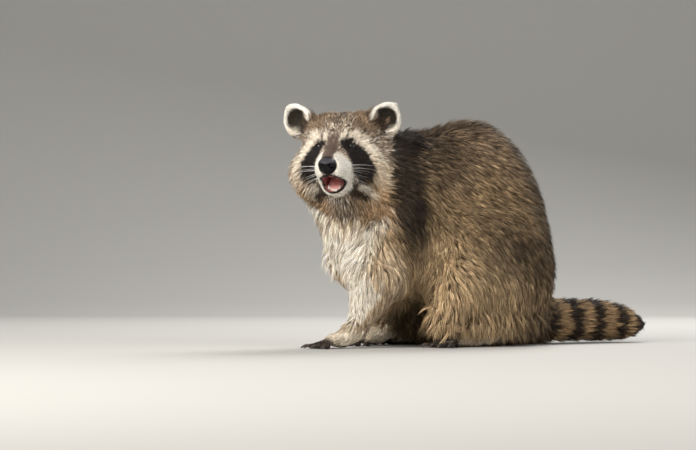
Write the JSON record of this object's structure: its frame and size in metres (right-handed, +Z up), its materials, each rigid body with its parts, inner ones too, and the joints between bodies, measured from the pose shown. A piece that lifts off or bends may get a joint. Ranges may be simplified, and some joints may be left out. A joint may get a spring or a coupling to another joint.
{
  "type": "raccoon model",
  "caption": "Life-size still raccoon crouched on its haunches, back arched, head turned aside with its mouth a little open, ringed tail laid behind on the floor.",
  "frame": {"origin": "middle of the bounding box's footprint, on the floor that the raccoon rests on", "axes": "+X the way the trunk faces and the longest side of the box, +Y to the animal's left, +Z up"},
  "size_m": [0.6018, 0.2376, 0.3292],
  "materials": {
    "body_coat": "long grizzled grey-brown fur, buff and white at the flanks and chest",
    "face_coat": "short cream, grey and black fur with the dark eye mask",
    "ear_coat": "short cream fur round the rim, dark grey within",
    "tail_coat": "bushy fur in dark and buff-orange rings",
    "paw_coat": "thin short fur over dark leathery skin",
    "claw_horn": "dark horn, satin",
    "nose_skin": "moist black skin, pebbled",
    "eye": "wet dark eye",
    "tongue_flesh": "wet pink flesh"
  },
  "bodies": {
    "root": {"ear_left": "ear_coat", "ear_right": "ear_coat", "eye_left": "eye", "eye_right": "eye", "fore_claw_left_1": "claw_horn", "fore_claw_left_2": "claw_horn", "fore_claw_left_3": "claw_horn", "fore_claw_left_4": "claw_horn", "fore_claw_left_5": "claw_horn", "fore_claw_right_1": "claw_horn", "fore_claw_right_2": "claw_horn", "fore_claw_right_3": "claw_horn", "fore_claw_right_4": "claw_horn", "fore_claw_right_5": "claw_horn", "forearm_left": "body_coat", "forearm_right": "body_coat", "forepaw_left": "paw_coat", "forepaw_right": "paw_coat", "head": "face_coat", "hind_claw_left_1": "claw_horn", "hind_claw_left_2": "claw_horn", "hind_claw_left_3": "claw_horn", "hind_claw_left_4": "claw_horn", "hind_claw_left_5": "claw_horn", "hind_claw_right_1": "claw_horn", "hind_claw_right_2": "claw_horn", "hind_claw_right_3": "claw_horn", "hind_claw_right_4": "claw_horn", "hind_claw_right_5": "claw_horn", "hind_foot_left": "paw_coat", "hind_foot_right": "paw_coat", "jaw": "face_coat", "neck": "body_coat", "nose": "nose_skin", "tail_middle": "tail_coat", "tail_root": "tail_coat", "tail_tip": "tail_coat", "thigh_left": "body_coat", "thigh_right": "body_coat", "tongue": "tongue_flesh", "trunk": "body_coat", "upper_arm_left": "body_coat", "upper_arm_right": "body_coat"}
  },
  "joints": []
}
